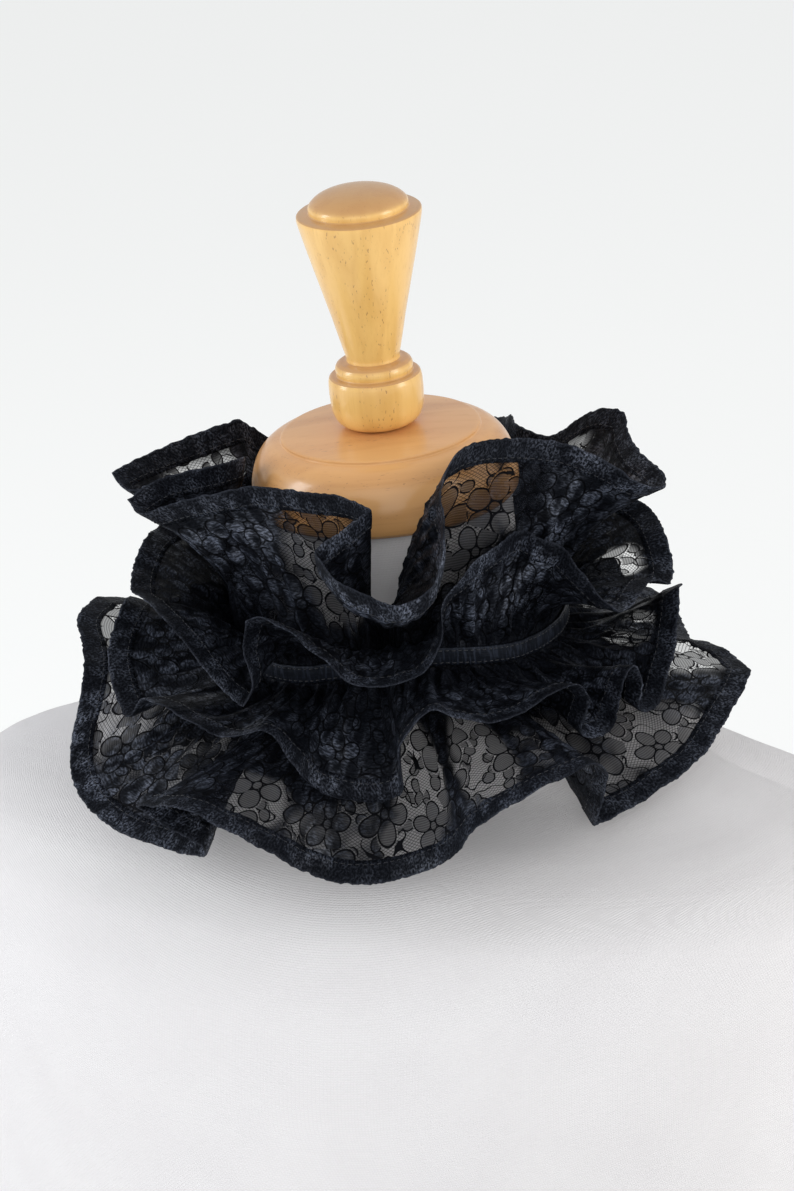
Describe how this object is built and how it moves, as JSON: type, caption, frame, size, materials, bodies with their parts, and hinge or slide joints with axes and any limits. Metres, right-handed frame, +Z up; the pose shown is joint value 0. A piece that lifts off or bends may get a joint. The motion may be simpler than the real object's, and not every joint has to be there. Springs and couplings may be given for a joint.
{
  "type": "ruff collar on a dress form",
  "caption": "Tiered lace ruff collar with gathered waved ruffles standing up and hanging down from a satin neck ribbon, worn by a limbless bust form with a turned wooden neck cap and finial.",
  "frame": {"origin": "centre of the dress form's flat base, under the neck's axis", "axes": "+Z up along the neck's axis, -Y to the form's front, +X to the wearer's left shoulder"},
  "size_m": [0.468, 0.2974, 0.4921],
  "materials": {
    "black_lace": "matt lace with a satin hem",
    "black_satin": "satin ribbon",
    "white_jersey": "fine knit",
    "honey_wood": "satin varnish",
    "blackened_steel": "blackened wire"
  },
  "bodies": {
    "root": {"wide_upper_ruffle": "black_lace", "narrow_upper_ruffle": "black_lace", "narrow_lower_ruffle": "black_lace", "wide_lower_ruffle": "black_lace", "neck_ribbon": "black_satin", "back_hook": "blackened_steel", "back_eye": "blackened_steel", "dress_form": "white_jersey", "neck_cap": "honey_wood", "finial": "honey_wood"}
  },
  "joints": []
}
